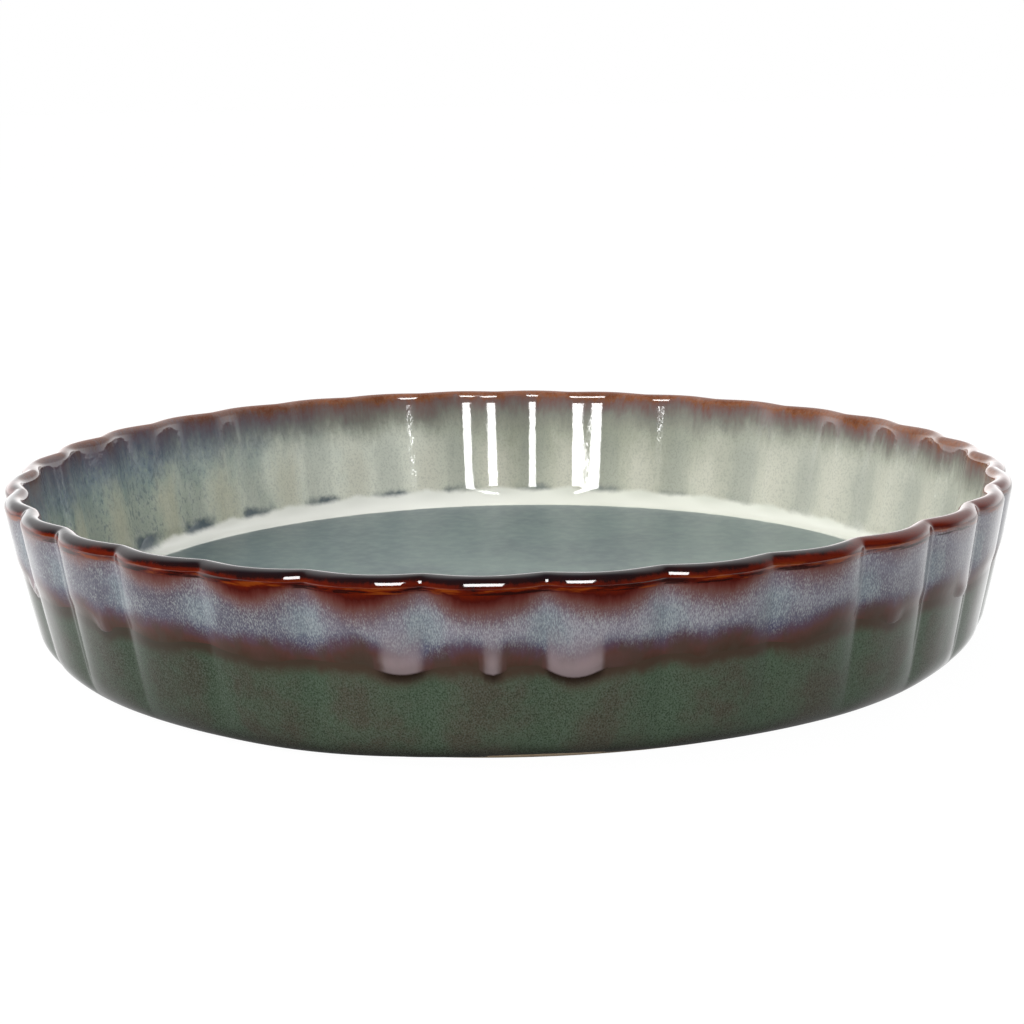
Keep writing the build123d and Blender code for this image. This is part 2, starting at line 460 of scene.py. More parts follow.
flow_heights = np.concatenate((np.linspace(flow_edge, flow_edge + 4 * MM, 17)[:-1],
                               np.linspace(flow_edge + 4 * MM, rim_line, 14)))
flow_front = [(foot_line_radius + lean_run * z, z) for z in flow_heights]
flow_back = [(r - (base_under + 0.05 * MM) / math.cos(lean), z) for r, z in flow_front[::5]]
flow_back.append((flow_front[-1][0] - (base_under + 0.05 * MM) / math.cos(lean), rim_line))
flow_glaze = spin_profile("lavender_flow_coat", flow_front + flow_back[::-1])
press_and_fire(flow_glaze, relief=flow_relief, level=flow_level)
seat(flow_glaze, "lavender_flow_glaze", "flow_glaze")

# %% [markdown]
# ## The rim glaze
#
# An iron-brown band wraps the lip, outside and inside. It is thinnest on the lip itself,
# because a melt draws back from an edge. As a solid it is one bent strip, spun round.

# %% Rim glaze
rim_front = [(foot_line_radius + lean_run * rim_line, rim_line)] + lip_line(0, 25)
inner_face = foot_line_radius - wall / math.cos(lean)
rim_front.append((inner_face + lean_run * rim_line, rim_line))
rim_back = [(foot_line_radius - 0.8 * MM + lean_run * rim_line, rim_line)] + lip_line(0.75 * MM, 9)
rim_back.append((inner_face + 0.75 * MM + lean_run * rim_line, rim_line))
rim_glaze = spin_profile("brown_rim_coat", rim_front + rim_back[::-1])
press_and_fire(rim_glaze)
seat(rim_glaze, "brown_rim_glaze", "rim_glaze")

# %% [markdown]
# ## The lining
#
# The pale coat was poured into the dish, swirled and poured out. It covers the inner wall,
# the cove and the floor in one skin, so its profile runs from the rim to the axis.

# %% Lining glaze
lining_front = inside_line(0, rim_line, 40) + [(r * MM, floor_level) for r in range(118, 0, -6)]
lining_back = inside_line(lining_under + 0.05 * MM, rim_line, 9)
lining_back.append((0, floor_level - lining_under))
lining_glaze = spin_profile(
    "cream_lining_coat", lining_front + [(0, floor_level)] + lining_back[::-1]
)
press_and_fire(lining_glaze)
seat(lining_glaze, "cream_lining_glaze", "lining_glaze")

# %% [markdown]
# ## The floor's pool
#
# What ran down the wall gathered on the level floor as a blue-green glass. It is a very
# thin sheet with a rounded edge, and it needs fewer columns, because nothing is fluted.

# %% Floor pool
pool_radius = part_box("floor_pool_glaze")[1].x
pool_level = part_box("floor_pool_glaze")[1].z
pool_edge = 1.0 * MM
pool_profile = [(0, floor_level - 0.2 * MM), (pool_radius, floor_level - 0.2 * MM)]
pool_profile += [
    (pool_radius - pool_edge * (1 - math.cos(a)), floor_level + (pool_level - floor_level) * math.sin(a))
    for a in np.linspace(0, math.pi / 2, 6)
]
pool_profile += [(r * MM, pool_level) for r in range(114, 0, -6)] + [(0, pool_level)]
floor_pool = spin_profile("blue_green_floor_pool", pool_profile, columns=FLUTES * 8)
press_and_fire(floor_pool)
seat(floor_pool, "blue_green_pool_glaze", "floor_pool_glaze")

# %% [markdown]
# ## Glaze colours
#
# A reactive glaze has no one colour. Where it is thin on the lip it is rust-brown, where it
# ran thick it is lavender and pale blue, and where it met the coat below it is purple-brown.
# So the colours follow measures in mm that each point carries: its depth below the lip and
# its height above the flow's edge. Noise moves these measures to and fro, and that draws
# the ragged borders and the streaks.
#
# One function adds any node. The others join nodes into something that a glazer would name.

# %% Adding nodes
def linear(code):
    """An sRGB hex value as linear red, green, blue and a full alpha."""
    channels = [int(code[i:i + 2], 16) / 255 for i in (1, 3, 5)]
    return [c / 12.92 if c <= 0.04045 else ((c + 0.055) / 1.055) ** 2.4 for c in channels] + [1.0]


def add(tree, kind, settings=(), inputs=(), stops=()):
    """Adds a node with its settings, its inputs (numbers, hex colours or links) and ramp stops."""
    node = tree.nodes.new(kind)
    for name, value in dict(settings).items():
        setattr(node, name, value)
    for name, value in dict(inputs).items():
        if isinstance(value, bpy.types.NodeSocket):
            tree.links.new(value, node.inputs[name])
        else:
            node.inputs[name].default_value = linear(value) if isinstance(value, str) else value
    for i, (place, colour) in enumerate(stops):
        element = node.color_ramp.elements[i] if i < 2 else node.color_ramp.elements.new(place)
        element.position = place
        element.color = linear(colour)
    return node


def new_glaze(piece, name, roughness):
    """A fired glaze is a glass: smooth, with an index of refraction of about 1.5."""
    material = bpy.data.materials.new(name)
    material.use_nodes = True
    shader = material.node_tree.nodes["Principled BSDF"]
    shader.inputs["Roughness"].default_value = roughness
    shader.inputs["IOR"].default_value = 1.5
    piece.data.materials.clear()
    piece.data.materials.append(material)
    return material.node_tree, shader


def measures(tree):
    """What each point carries: depth, groove, above, thick and inside, then its place x, y, z."""
    names = ("depth", "groove", "above", "thick", "inside")
    kept = [add(tree, "ShaderNodeAttribute", {"attribute_name": name}).outputs["Fac"] for name in names]
    place = add(tree, "ShaderNodeTexCoord").outputs["Object"]
    return kept + list(add(tree, "ShaderNodeSeparateXYZ", {}, {"Vector": place}).outputs)


print("Rust brown #541306 in linear light:", [round(share, 3) for share in linear("#541306")])

# %% [markdown]
# ### Noise, wandering borders and veils
#
# A veil is one colour laid over another where some measures allow it. A wandering measure
# moves the veil's border. The sizes of the noise are those of real grains and clouds.

# %% Noise and veils
def noise(tree, size, detail=3, stretch=1.0, seed=0.0):
    """Cloudy noise with grains of a real size in metres, stretched down the wall."""
    place = add(tree, "ShaderNodeTexCoord").outputs["Object"]
    turned = add(tree, "ShaderNodeMapping", {}, {
        "Vector": place, "Location": (seed, seed, seed), "Scale": (1, 1, 1 / stretch)})
    return add(tree, "ShaderNodeTexNoise", {}, {
        "Vector": turned.outputs["Vector"], "Scale": 1 / size, "Detail": detail,
        "Roughness": 0.6}).outputs["Fac"]


def wander(tree, measure, amount, cloud):
    """The measure plus or minus up to half the amount, by a noise."""
    centred = add(tree, "ShaderNodeMath", {"operation": "SUBTRACT"}, {0: cloud, 1: 0.5}).outputs[0]
    return add(tree, "ShaderNodeMath", {"operation": "MULTIPLY_ADD"},
               {0: centred, 1: amount, 2: measure}).outputs[0]


def colours_along(tree, measure, stops):
    """The glaze's colours along a measure, each with its place in mm."""
    span = max(place for place, colour in stops)
    share = add(tree, "ShaderNodeMath", {"operation": "DIVIDE"}, {0: measure, 1: span}).outputs[0]
    places = [(place / span, colour) for place, colour in stops]
    return add(tree, "ShaderNodeValToRGB", {}, {"Fac": share}, places).outputs["Color"]


def veil(tree, under, over, strength, *limits):
    """Lays one colour over another. Each limit is a measure, and where it is 0 and full."""
    share = strength
    for measure, start, end in limits:
        share = add(tree, "ShaderNodeMapRange", {"interpolation_type": "SMOOTHSTEP"}, {
            "Value": measure, "From Min": start, "From Max": end, "To Max": share}).outputs[0]
    return add(tree, "ShaderNodeMix", {"data_type": "RGBA"}, {0: share, 6: under, 7: over}).outputs[2]


def waviness(tree, shader, size, height):
    """The surface of a glaze is never quite flat."""
    bump = add(tree, "ShaderNodeBump", {}, {
        "Strength": 1.0, "Distance": height, "Height": noise(tree, size, 2)})
    tree.links.new(bump.outputs["Normal"], shader.inputs["Normal"])


print("The finest noise, the flecks, has grains of 0.24 mm")

# %% [markdown]
# ### The arcs of the brown band
#
# The band is deepest on the lobes at the front. It rises in each groove, which draws its
# arcs, and it is narrower at the right and behind. So a depth is worked out that runs
# ahead of the real one in these places, and the colours follow that.

# %% The brown band's arcs
def arched_depth(tree, depth, groove, x, y):
    """The depth below the lip, made larger where the brown band is narrower."""
    thin = add(tree, "ShaderNodeMapRange", {}, {
        "Value": y, "From Min": -0.1385, "From Max": -0.09, "To Min": 0.0, "To Max": 4.5}).outputs[0]
    raised = add(tree, "ShaderNodeMath", {"operation": "MULTIPLY_ADD"},
                 {0: groove, 1: 4.2, 2: thin}).outputs[0]
    rising = add(tree, "ShaderNodeMapRange", {}, {
        "Value": depth, "From Min": 1.2, "From Max": 4.2, "To Max": raised}).outputs[0]
    behind = add(tree, "ShaderNodeMapRange", {}, {
        "Value": y, "From Min": -0.06, "From Max": 0.03, "To Min": 0.0, "To Max": 3.0}).outputs[0]
    arched = add(tree, "ShaderNodeMath", {"operation": "ADD"}, {0: depth, 1: rising}).outputs[0]
    at_right = add(tree, "ShaderNodeMapRange", {}, {
        "Value": x, "From Min": 0.05, "From Max": 0.10, "To Min": 0.0, "To Max": 2.2}).outputs[0]
    behind = add(tree, "ShaderNodeMath", {"operation": "MAXIMUM"}, {0: behind, 1: at_right}).outputs[0]
    return add(tree, "ShaderNodeMath", {"operation": "ADD"}, {0: arched, 1: behind}).outputs[0]


print("The band's arcs rise by up to 4.2 mm in a groove")

# %% [markdown]
# ### Where the flow ends
#
# There the two glazes melted into each other, through violet and red-brown. The tongues are thick enough to
# turn pale and milky, and their paleness is partly a painted reflection of a window in their glossy bulge,
# with a dark line round their bead.

# %% The flow's end
def flow_end(tree, height, patches):
    """Violet to red-brown as the flow thins out, with darker patches."""
    at_edge = colours_along(tree, height, [
        (0.0, "#42382c"), (10.0, "#66606c"), (1.8, "#4c372d"), (3.6, "#593c37"),
        (5.6, "#584450"), (7.6, "#5c5868")])
    return veil(tree, at_edge, "#4c4038", 0.6, (patches, 0.42, 0.62), (height, 8.0, 4.0))


def with_tongues(tree, colour, above, thick, patches):
    """Lays the pale tongues, partly a painted reflection, and their dark beads over the colour."""
    drip = wander(tree, above, 5.0, patches)
    milky_with_painted_reflection = wander(tree, thick, 0.6, patches)
    # Pale over the tongues: partly the thick glaze, partly a painted reflection of a window.
    colour = veil(tree, colour, "#98898c", 0.75, (milky_with_painted_reflection, 0.2, 1.0), (drip, 12.5, 1.5))
    colour = veil(tree, colour, "#5c4340", 0.6, (thick, 0.8, 0.2), (thick, 0.0, 0.2), (above, 5.0, 2.5))
    return veil(tree, colour, "#3a2620", 0.8, (thick, 0.0, 1.0), (above, 0.8, 0.2))


print("The longest tongue reaches", max(reach for place, width, reach in tongues), "mm down")

# %% [markdown]
# ### The outside, from the lip down
#
# Brown at the lip, then lavender, palest and most flecked in the grooves, where the melt
# ran. The streaks and flecks are the crystals that such a glaze grows as it cools.

# %% Outside colours
def outside_colour(tree):
    """Brown at the lip, then lavender, then purple-brown where the flow ends."""
    depth, groove, above, thick, inside, x, y, z = measures(tree)
    streaks = noise(tree, 0.9 * MM, 4, stretch=6)
    clouds = noise(tree, 14 * MM, 3, stretch=1.5, seed=3.0)
    patches = noise(tree, 5 * MM, 3, stretch=1.6, seed=5.0)
    arched = arched_depth(tree, depth, groove, x, y)
    upper = wander(tree, wander(tree, arched, 1.8, streaks), 4.5, clouds)
    colour = colours_along(tree, upper, [
        (0.0, "#150c11"), (24.0, "#686470"), (1.2, "#200b0b"), (2.2, "#541306"), (3.6, "#5e1704"),
        (5.0, "#48110b"), (6.2, "#5c2a24"), (7.6, "#69443f"), (9.6, "#725a5d"),
        (12.0, "#79707a"), (14.5, "#807f8a"), (18.0, "#76747f")])
    colour = veil(tree, colour, "#a3a0a8", 0.42,
                  (x, -0.05, -0.01), (x, 0.07, 0.03), (upper, 9.0, 13.0))
    colour = veil(tree, colour, "#50505c", 0.60,
                  (x, -0.02, -0.06), (upper, 8.0, 12.0), (groove, 1.1, 0.3))
    ragged = wander(tree, wander(tree, groove, 0.9, patches), 0.5, streaks)
    level = wander(tree, depth, 5.0, clouds)
    colour = veil(tree, colour, "#808b92", 0.8,
                  (ragged, 0.3, 0.9), (level, 6.0, 10.0), (level, 19.0, 15.0))
    colour = veil(tree, colour, "#4c4d68", 0.8, (ragged, 0.3, 0.9), (level, 14.0, 18.0))
    sinking = add(tree, "ShaderNodeMath", {"operation": "MULTIPLY_ADD"},
                  {0: groove, 1: 2.4, 2: above}).outputs[0]
    height = wander(tree, wander(tree, sinking, 2.0, streaks), 5.5, clouds)
    colour = veil(tree, colour, flow_end(tree, height, patches), 1.0, (height, 9.8, 5.6))
    grain = noise(tree, 0.24 * MM, 2, stretch=3.0, seed=7.0)
    dense = wander(tree, grain, 0.3, patches)
    colour = veil(tree, colour, "#b6bdb9", 0.40,
                  (dense, 0.50, 0.64), (upper, 6.5, 12.0), (height, 4.0, 9.0))
    colour = veil(tree, colour, "#403d50", 0.36,
                  (dense, 0.50, 0.38), (upper, 6.5, 12.0), (height, 4.0, 9.0))
    return with_tongues(tree, colour, above, thick, patches)


print("The glazes read", len(flow_glaze.data.attributes), "attributes of the flow coat's points")

# %% [markdown]
# ### The two sides of the inner wall
#
# The right of the inner wall is cream down to the ring, painted paler towards its right and its left as
# painted light. On the left the glaze is slate blue, mottled like a pebble.

# %% Cream and slate
def cream_side(tree, level, x):
    """Amber-brown at the lip, then grey-olive, then cream down to the white ring."""
    cream = colours_along(tree, level, [
        (0.0, "#6e3f28"), (30.0, "#b6b8a8"), (1.5, "#825239"), (3.0, "#785a54"), (5.0, "#786b66"),
        (8.0, "#86867c"), (14.0, "#9c9f8f"), (21.0, "#acae9e")])
    # Paler towards the right and towards the left: painted light.
    cream = veil(tree, cream, "#c8c9bc", 0.75, (x, 0.035, 0.10), (level, 6.0, 16.0))
    return veil(tree, cream, "#e6e9dc", 0.85, (x, -0.005, -0.05), (level, 7.0, 18.0))


def slate_side(tree, level):
    """Red-brown at the lip, then violet, then a mottled slate blue."""
    mottle = noise(tree, 1.1 * MM, 4, stretch=1.8, seed=17.0)
    slate = colours_along(tree, level, [
        (0.0, "#643a2a"), (32.0, "#a0aa9c"), (1.5, "#604848"), (3.5, "#5c505c"), (6.5, "#5f6272"),
        (12.0, "#73838f"), (17.0, "#8ea09c"), (23.0, "#aeb8aa")])
    slate = veil(tree, slate, "#42566a", 0.55, (mottle, 0.50, 0.36), (level, 3.0, 8.0))
    return veil(tree, slate, "#93a294", 0.45, (mottle, 0.52, 0.66), (level, 4.0, 12.0))


print("The inner wall turns from cream to slate 50 to 135 mm left of the axis")

# %% [markdown]
# ### The inner wall
#
# Both sides are joined by a border that wanders. Over them come the paler ridges, where the melt ran off,
# painted shade in the hollows between them, and a fine grain.

# %% Inside colours
def inside_colour(tree):
    """The whole inner wall, from the lip to the cove."""
    depth, groove, above, thick, inside, x, y, z = measures(tree)
    streaks = noise(tree, 1.5 * MM, 4, stretch=4, seed=11.0)
    clouds = noise(tree, 9 * MM, 3, stretch=1.6, seed=13.0)
    level = wander(tree, wander(tree, depth, 5.0, streaks), 8.0, clouds)
    to_left = wander(tree, x, 0.06, clouds)
    colour = veil(tree, cream_side(tree, level, x), slate_side(tree, level), 1.0,
                  (to_left, -0.05, -0.135))
    ragged = wander(tree, wander(tree, groove, 0.8, clouds), 0.5, streaks)
    ridge = veil(tree, "#cfcebf", "#bcbba5", 1.0, (x, -0.05, -0.11))
    colour = veil(tree, colour, ridge, 0.7, (ragged, 0.15, 0.9), (level, 8.0, 26.0))
    fine = noise(tree, 0.6 * MM, 2, stretch=1.3, seed=15.0)
    # Greyer in the hollows between the ridges: painted shade.
    painted_hollow_shade = wander(tree, wander(tree, groove, 0.3, clouds), 0.25, streaks)
    colour = veil(tree, colour, "#77807c", 0.27, (painted_hollow_shade, 0.32, 0.0), (level, 8.0, 20.0))
    return veil(tree, colour, "#6a7270", 0.2, (fine, 0.52, 0.36))


print("The inner wall is", round(1000 * (rim_height - floor_level)), "mm high")

# %% [markdown]
# ### The flow and rim materials
#
# Both read the same outside colours, so that no seam shows between them. On the lip the
# brown breaks to amber ribbons, and at the far side it is amber all over. The rim's inner
# half takes the inner wall's colours.

# %% Flow and rim materials
tree, shader = new_glaze(flow_glaze, "lavender rutile glaze over iron", 0.10)
tree.links.new(outside_colour(tree), shader.inputs["Base Color"])
waviness(tree, shader, 4 * MM, 0.05 * MM)

tree, shader = new_glaze(rim_glaze, "iron-brown glaze, thin over the lip", 0.05)
depth, groove, above, thick, inside, x, y, z = measures(tree)
ribbons = noise(tree, 9 * MM, 3, stretch=0.11, seed=19.0)
banded = veil(tree, outside_colour(tree), "#8c4210", 0.6,
              (ribbons, 0.52, 0.62), (depth, 1.6, 2.6), (depth, 5.5, 4.2))
banded = veil(tree, banded, "#1c0a0a", 0.8,
              (ribbons, 0.50, 0.40), (depth, 1.6, 2.6), (depth, 5.5, 4.2))
banded = veil(tree, banded, "#7b4526", 0.6, (y, -0.02, 0.05), (depth, 4.5, 2.5))
both = veil(tree, banded, inside_colour(tree), 1.0, (inside, 0.45, 0.8))
tree.links.new(both, shader.inputs["Base Color"])
waviness(tree, shader, 5 * MM, 0.04 * MM)
print("Outside:", flow_glaze.data.materials[0].name, "and", rim_glaze.data.materials[0].name)

# %% [markdown]
# ### The green under the flow
#
# A celadon with iron in it: finely grained, greener under the grooves and brownish on the lobes. Its
# darkening at the foot is painted shade. Just under the flow it is brown from the iron above, and right
# under each tongue a dark band is painted shadow.

# %% Base glaze material
tree, shader = new_glaze(base_glaze, "dark celadon glaze, grey-green", 0.09)
depth, groove, above, thick, inside, x, y, z = measures(tree)
clouds = noise(tree, 10 * MM, 3, seed=21.0)
grain = noise(tree, 0.34 * MM, 3, stretch=1.3, seed=23.0)
streaks = noise(tree, 2.5 * MM, 3, stretch=4, seed=25.0)
near_flow = wander(tree, wander(tree, above, 2.5, streaks), 4.0, clouds)
ragged = wander(tree, groove, 1.1, clouds)
green = veil(tree, "#504e42", "#505a4a", 1.0, (clouds, 0.35, 0.65))
green = veil(tree, green, "#4b5c4a", 0.75, (ragged, 0.1, 0.9))
green = veil(tree, green, "#483a30", 1.0, (near_flow, -3.6, -0.3))
# Darker at the foot: painted shade.
green = veil(tree, green, "#2a241b", 0.75, (wander(tree, depth, 5.0, clouds), 40.0, 45.0))
# Dark right under each tongue's bead: a painted shadow.
green = veil(tree, green, "#1c120c", 0.8, (thick, 0.0, 1.0), (above, -2.6, 0.0))
green = veil(tree, green, "#2e332b", 0.40, (x, -0.02, -0.09))
green = veil(tree, green, "#66716a", 0.34, (grain, 0.50, 0.64), (near_flow, 0.0, -5.0))
green = veil(tree, green, "#1b201a", 0.5, (grain, 0.50, 0.36), (near_flow, 0.0, -5.0))
tree.links.new(green, shader.inputs["Base Color"])
waviness(tree, shader, 4 * MM, 0.04 * MM)
print("Under the flow:", base_glaze.data.materials[0].name)

# %% [markdown]
# ### The white ring
#
# Above the floor the melt ran off the cove and left it white, in a scalloped ring. At the back it starts
# higher up the cove, partly as a painted reflection of bright lamps that the hollow cove mirrors. At the
# left it is whiter, which is painted light against the shadow of the left wall. The lining and the pool
# both call this function, so the ring goes on over the border between them.

# %% The white ring
def with_ring(tree, outer_colour, inner_colour):
    """The pale ring: it starts at a depth in the cove and ends at a distance from the axis."""
    place = add(tree, "ShaderNodeTexCoord").outputs["Object"]
    flat = add(tree, "ShaderNodeVectorMath", {"operation": "MULTIPLY"}, {0: place, 1: (1, 1, 0)})
    reach = add(tree, "ShaderNodeVectorMath", {"operation": "LENGTH"}, {0: flat.outputs["Vector"]})
    depth, groove, above, thick, inside, x, y, z = measures(tree)
    cloud = noise(tree, 5 * MM, 4, seed=33.0)
    ragged = wander(tree, reach.outputs["Value"], 2.4 * MM, cloud)
    # At the back the ring starts higher: partly a painted reflection that the hollow cove mirrors.
    ring_start_with_painted_reflection = add(tree, "ShaderNodeMapRange", {}, {
        "Value": y, "From Min": 0.112, "From Max": 0.05, "To Min": 34.0, "To Max": 36.6}).outputs[0]
    above_ring = add(tree, "ShaderNodeMath", {"operation": "SUBTRACT"},
                     {0: wander(tree, depth, 2.0, cloud), 1: ring_start_with_painted_reflection}).outputs[0]
    scalloped = add(tree, "ShaderNodeMath", {"operation": "MULTIPLY_ADD"},
                    {0: groove, 1: 1.6, 2: above_ring}).outputs[0]
    # Whiter at the left: painted light against the shadow of the left wall.
    white = veil(tree, "#dddfd4", "#f2f3ec", 1.0, (x, 0.03, -0.05))
    colour = veil(tree, outer_colour, white, 1.0, (scalloped, -0.9, 1.1))
    return veil(tree, colour, inner_colour, 1.0, (ragged, 121.3 * MM, 118.3 * MM))


print("The ring ends 118 to 121 mm from the axis, and the pool", round(1000 * pool_radius), "mm")

# %% [markdown]
# ### The floor's colours
#
# The pool is cloudy blue-green glass. It is paler at the right, as a painted reflection, and darker behind
# and at the left.

# %% Pool colours
def pool_colour(tree):
    """Cloudy blue-green, paler to the right as a painted reflection, and darker to the left and behind."""
    depth, groove, above, thick, inside, x, y, z = measures(tree)
    clouds = noise(tree, 24 * MM, 4, seed=41.0)
    fine = noise(tree, 4 * MM, 4, seed=43.0)
    colour = veil(tree, "#596769", "#6d7d79", 1.0, (clouds, 0.35, 0.65))
    # Paler at the right: painted reflection.
    colour = veil(tree, colour, "#84928b", 0.6, (wander(tree, x, 0.1, clouds), 0.0, 0.10))
    colour = veil(tree, colour, "#4a5a60", 0.6, (wander(tree, y, 0.06, clouds), 0.0, 0.10))
    colour = veil(tree, colour, "#4f6065", 0.5, (wander(tree, x, 0.04, clouds), 0.0, -0.08))
    return veil(tree, colour, "#8a9892", 0.25, (fine, 0.35, 0.7))


print("The pool's clouds are about 24 mm wide")

# %% [markdown]
# ### The lining and pool materials
#
# What ran off the wall stands in blue-grey pools at the foot of each lobe, mostly at the
# left. The floor's glass is less smooth than the wall's, so it mirrors it only softly.

# %% Lining material
tree, shader = new_glaze(lining_glaze, "cream celadon liner glaze", 0.07)
depth, groove, above, thick, inside, x, y, z = measures(tree)
settled = wander(tree, depth, 5.0, noise(tree, 4 * MM, 3, seed=31.0))
in_lobe = wander(tree, groove, 0.5, noise(tree, 3 * MM, 3, seed=32.0))
some = noise(tree, 22 * MM, 1, seed=35.0)
wall_colour = veil(tree, inside_colour(tree), "#4a5862", 0.9,
                   (settled, 31.0, 34.0), (in_lobe, 0.5, 0.1), (some, 0.25, 0.5), (x, 0.10, -0.04))
tree.links.new(with_ring(tree, wall_colour, pool_colour(tree)), shader.inputs["Base Color"])
waviness(tree, shader, 3 * MM, 0.035 * MM)
print("Inner wall:", lining_glaze.data.materials[0].name)

# %% Floor pool material
tree, shader = new_glaze(floor_pool, "blue-green pooled glaze", 0.33)
tree.links.new(with_ring(tree, "#d8dacf", pool_colour(tree)), shader.inputs["Base Color"])
waviness(tree, shader, 20 * MM, 0.10 * MM)
print("Floor:", floor_pool.data.materials[0].name)

# %% [markdown]
# ### Bare clay and the underside
#
# The foot is left bare, or the dish would stick to the kiln shelf: matt, sandy and tan.
# The recess inside the foot ring keeps the green dip.

# %% Clay and underside materials
tree, shader = new_glaze(stoneware_body, "bare fired stoneware, fine sandy clay", 0.85)
sand = noise(tree, 0.6 * MM, 3, seed=51.0)
patches = noise(tree, 15 * MM, 2, seed=53.0)
colour = veil(tree, "#c9ae90", "#dcc8ac", 1.0, (patches, 0.3, 0.7))
colour = veil(tree, colour, "#8a6c50", 0.6, (sand, 0.55, 0.7))
tree.links.new(colour, shader.inputs["Base Color"])
waviness(tree, shader, 0.7 * MM, 0.08 * MM)
print("The foot:", stoneware_body.data.materials[0].name)

tree, shader = new_glaze(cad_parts["underside_glaze"], "dark celadon glaze in the recess", 0.12)
colour = veil(tree, "#2a3128", "#414b3c", 1.0, (noise(tree, 14 * MM, 3, seed=61.0), 0.3, 0.7))
colour = veil(tree, colour, "#66705e", 0.4, (noise(tree, 1.0 * MM, 3, seed=63.0), 0.58, 0.7))
tree.links.new(colour, shader.inputs["Base Color"])
waviness(tree, shader, 5 * MM, 0.04 * MM)
print("The recess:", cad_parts["underside_glaze"].data.materials[0].name)

# %% [markdown]
# ## Table, light and camera
#
# The table is plain. The camera's view of it is lifted to white, and the dish's shadow
# stays. A glossy wall mirrors the table too. In the photograph that is dark in front of
# the dish, which keeps the brown deep, and bright beside and behind it.

# %% Table
bpy.ops.mesh.primitive_plane_add(size=60, location=(0, 0, -0.05 * MM))
table = bpy.context.object
table.name = "table"
table_material = bpy.data.materials.new("white table, lifted for the camera")
table_material.use_nodes = True
tree = table_material.node_tree
tree.nodes.clear()
rays = add(tree, "ShaderNodeLightPath")
place = add(tree, "ShaderNodeTexCoord").outputs["Object"]
reach = add(tree, "ShaderNodeVectorMath", {"operation": "DISTANCE"}, {0: place, 1: (0, -0.42, 0)})
mirrored = add(tree, "ShaderNodeMapRange", {"interpolation_type": "SMOOTHSTEP"}, {
    "Value": reach.outputs["Value"], "From Min": 0.28, "From Max": 0.47, "To Min": 0.03, "To Max": 1.4})
plain = add(tree, "ShaderNodeBsdfDiffuse", {}, {"Color": "#a8a8a8"})
lifted = add(tree, "ShaderNodeEmission", {}, {"Color": (1, 1, 1, 1), "Strength": 1.09})
mirror = add(tree, "ShaderNodeEmission", {}, {"Color": (1, 1, 1, 1), "Strength": mirrored.outputs[0]})
most = add(tree, "ShaderNodeMath", {"operation": "MULTIPLY"}, {0: rays.outputs["Is Camera Ray"], 1: 0.9})
seen = add(tree, "ShaderNodeMixShader", {}, {0: most.outputs[0], 1: plain.outputs[0], 2: lifted.outputs[0]})
surface = add(tree, "ShaderNodeMixShader", {}, {
    0: rays.outputs["Is Glossy Ray"], 1: seen.outputs[0], 2: mirror.outputs[0]})
add(tree, "ShaderNodeOutputMaterial", {}, {"Surface": surface.outputs[0]})
table.data.materials.append(table_material)
table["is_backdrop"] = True
print("The table is", round(table.dimensions.x), "m wide")

# %% [markdown]
# ### The studio
#
# A tent round the set is what the glaze mirrors: white behind the dish, dark in front and
# above. Only reflections see it. The sky gives the soft light.

# %% Sky and tent
world = bpy.data.worlds.new("studio")
bpy.context.scene.world = world
world.use_nodes = True
tree = world.node_tree
tree.nodes.clear()
rays = add(tree, "ShaderNodeLightPath")
seen = add(tree, "ShaderNodeMath", {"operation": "MAXIMUM"},
           {0: rays.outputs["Is Camera Ray"], 1: rays.outputs["Is Transmission Ray"]})
strength = add(tree, "ShaderNodeMapRange", {}, {"Value": seen.outputs[0], "To Min": 0.55, "To Max": 1.0})
sky = add(tree, "ShaderNodeBackground", {}, {"Color": (1, 1, 1, 1), "Strength": strength.outputs[0]})
add(tree, "ShaderNodeOutputWorld", {}, {"Surface": sky.outputs[0]})

bpy.ops.mesh.primitive_uv_sphere_add(segments=48, ring_count=24, radius=2.4)
tent = bpy.context.object
tent.name = "studio_tent"
tent_material = bpy.data.materials.new("tent, white behind and dark in front")
tent_material.use_nodes = True
tree = tent_material.node_tree
tree.nodes.clear()
place = add(tree, "ShaderNodeTexCoord").outputs["Object"]
x, y, z = add(tree, "ShaderNodeSeparateXYZ", {}, {"Vector": place}).outputs
horizon = add(tree, "ShaderNodeMapRange", {"interpolation_type": "SMOOTHSTEP"}, {
    "Value": z, "From Min": 0.9, "From Max": 0.3, "To Min": 1.0, "To Max": 2.2})
back = add(tree, "ShaderNodeMapRange", {"interpolation_type": "SMOOTHSTEP"}, {
    "Value": y, "From Min": -0.3, "From Max": 1.3, "To Min": 0.06, "To Max": horizon.outputs[0]})
low = add(tree, "ShaderNodeMapRange", {"interpolation_type": "SMOOTHSTEP"}, {
    "Value": z, "From Min": 2.6, "From Max": 1.9, "To Min": 0.08, "To Max": back.outputs[0]})
cloth = add(tree, "ShaderNodeEmission", {}, {"Color": (1, 1, 1, 1), "Strength": low.outputs[0]})
add(tree, "ShaderNodeOutputMaterial", {}, {"Surface": cloth.outputs[0]})
tent.data.materials.append(tent_material)
tent.visible_camera = False
tent.visible_diffuse = False
tent.visible_shadow = False
tent.visible_transmission = False
tent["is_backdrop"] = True
print("The tent is", round(tent.dimensions.x, 1), "m across")

# %% [markdown]
# ### Lamps
#
# A large soft key light stands at the left, with fill light from above and from the front.
# Two windows in front give no light and are only mirrored: the low one as white bars on
# the far wall, and the high one as short streaks on the near lip. Light linking lets each
# window reach only the glazes that it is for. Without it the floor's pool would mirror
# them too, and from behind it would burn out to white.

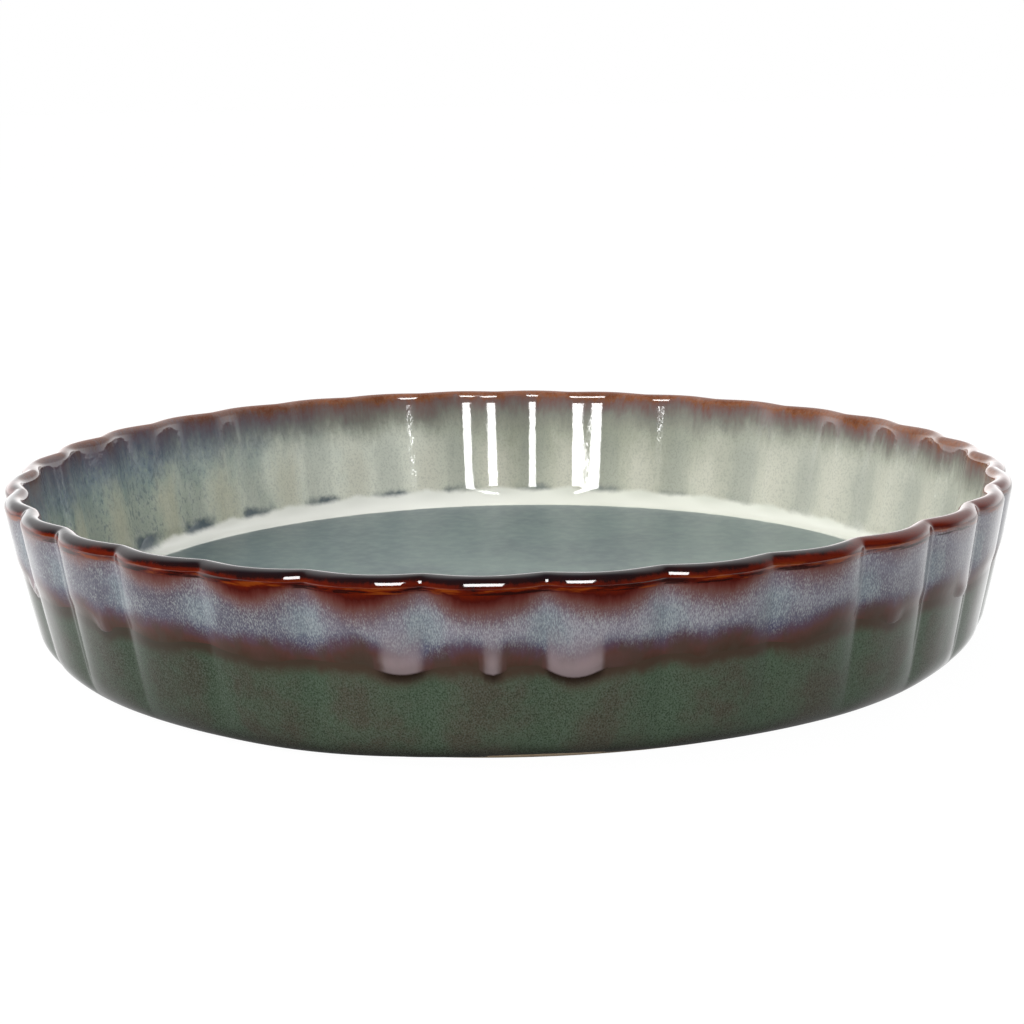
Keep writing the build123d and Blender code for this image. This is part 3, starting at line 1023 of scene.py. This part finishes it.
# %% Lamps
def softbox(name, place, size, watts, mirrored):
    """A softbox that faces the dish. Either it lights, or it is only what the glaze mirrors."""
    bpy.ops.object.light_add(type="AREA", location=place)
    lamp = bpy.context.object
    lamp.name = name
    lamp.data.shape = "RECTANGLE"
    lamp.data.size, lamp.data.size_y = size
    lamp.data.energy = watts
    lamp.rotation_euler = (-Vector(place)).to_track_quat("-Z", "Y").to_euler()
    lamp.visible_glossy = mirrored
    lamp.visible_diffuse = not mirrored
    return lamp


def mirrored_only_by(lamp, *pieces):
    """Links the lamp to these pieces, so that nothing else mirrors it."""
    mirrors = bpy.data.collections.new("mirrors of " + lamp.name)
    for piece in pieces:
        mirrors.objects.link(piece)
    lamp.light_linking.receiver_collection = mirrors


softbox("key_left", (-1.1, -0.2, 0.8), (0.6, 0.8), 12, mirrored=False)
softbox("overhead", (0.1, 0.4, 1.3), (1.0, 0.5), 6, mirrored=False)
softbox("fill_front", (-0.06, -1.3, 0.36), (0.5, 0.4), 7, mirrored=False)
wall_window = softbox("window_low", (-0.02, -1.31, 0.43), (0.38, 0.38), 11, mirrored=True)
lip_window = softbox("window_high", (-0.02, -1.0, 0.82), (0.55, 0.55), 23, mirrored=True)
mirrored_only_by(wall_window, base_glaze, flow_glaze, lining_glaze)
mirrored_only_by(lip_window, rim_glaze)

# %% [markdown]
# ### Camera
#
# It stands where the photograph was taken, 556 mm from the dish and 10 degrees above the
# rim. The whole set-up is turned 2.5 degrees, as the flutes are in the photograph.

# %% Camera
camera_distance = 0.5560
camera_elevation = 0.1820
camera_yaw = 0.0011
camera_pitch = -0.0263
camera_roll = -0.0194
lens_mm = 69.15
sensor_mm = 36


def turn_axes(first, second, angle):
    """Turns two axes in their own plane."""
    return (math.cos(angle) * first - math.sin(angle) * second,
            math.sin(angle) * first + math.cos(angle) * second)


side_axis = Vector((1, 0, 0))
up_axis = Vector((0, math.sin(camera_elevation), math.cos(camera_elevation)))
view_axis = Vector((0, math.cos(camera_elevation), -math.sin(camera_elevation)))
side_axis, view_axis = turn_axes(side_axis, view_axis, camera_yaw)
up_axis, view_axis = turn_axes(up_axis, view_axis, camera_pitch)
up_axis, side_axis = turn_axes(up_axis, side_axis, camera_roll)
camera_place = Vector((0, -camera_distance * math.cos(camera_elevation),
                       rim_height + camera_distance * math.sin(camera_elevation)))
bpy.ops.object.camera_add()
camera = bpy.context.object
camera.data.sensor_width = sensor_mm
camera.data.lens = lens_mm
camera.data.clip_start = 0.01
placed = Matrix((side_axis, up_axis, -view_axis)).transposed().to_4x4()
placed.translation = camera_place
camera.matrix_world = Matrix.Rotation(photo_turn, 4, "Z") @ placed
bpy.context.scene.camera = camera
bpy.context.scene.view_settings.view_transform = "Standard"
print("The camera is", round(1000 * camera.location.z), "mm above the table")

# %% [markdown]
# ## Measure and finish
#
# The dressed dish's box is measured and printed.

# %% Measure and finish
low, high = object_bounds()
print("The dressed dish's box in mm:", [round(1000 * size, 1) for size in high - low])
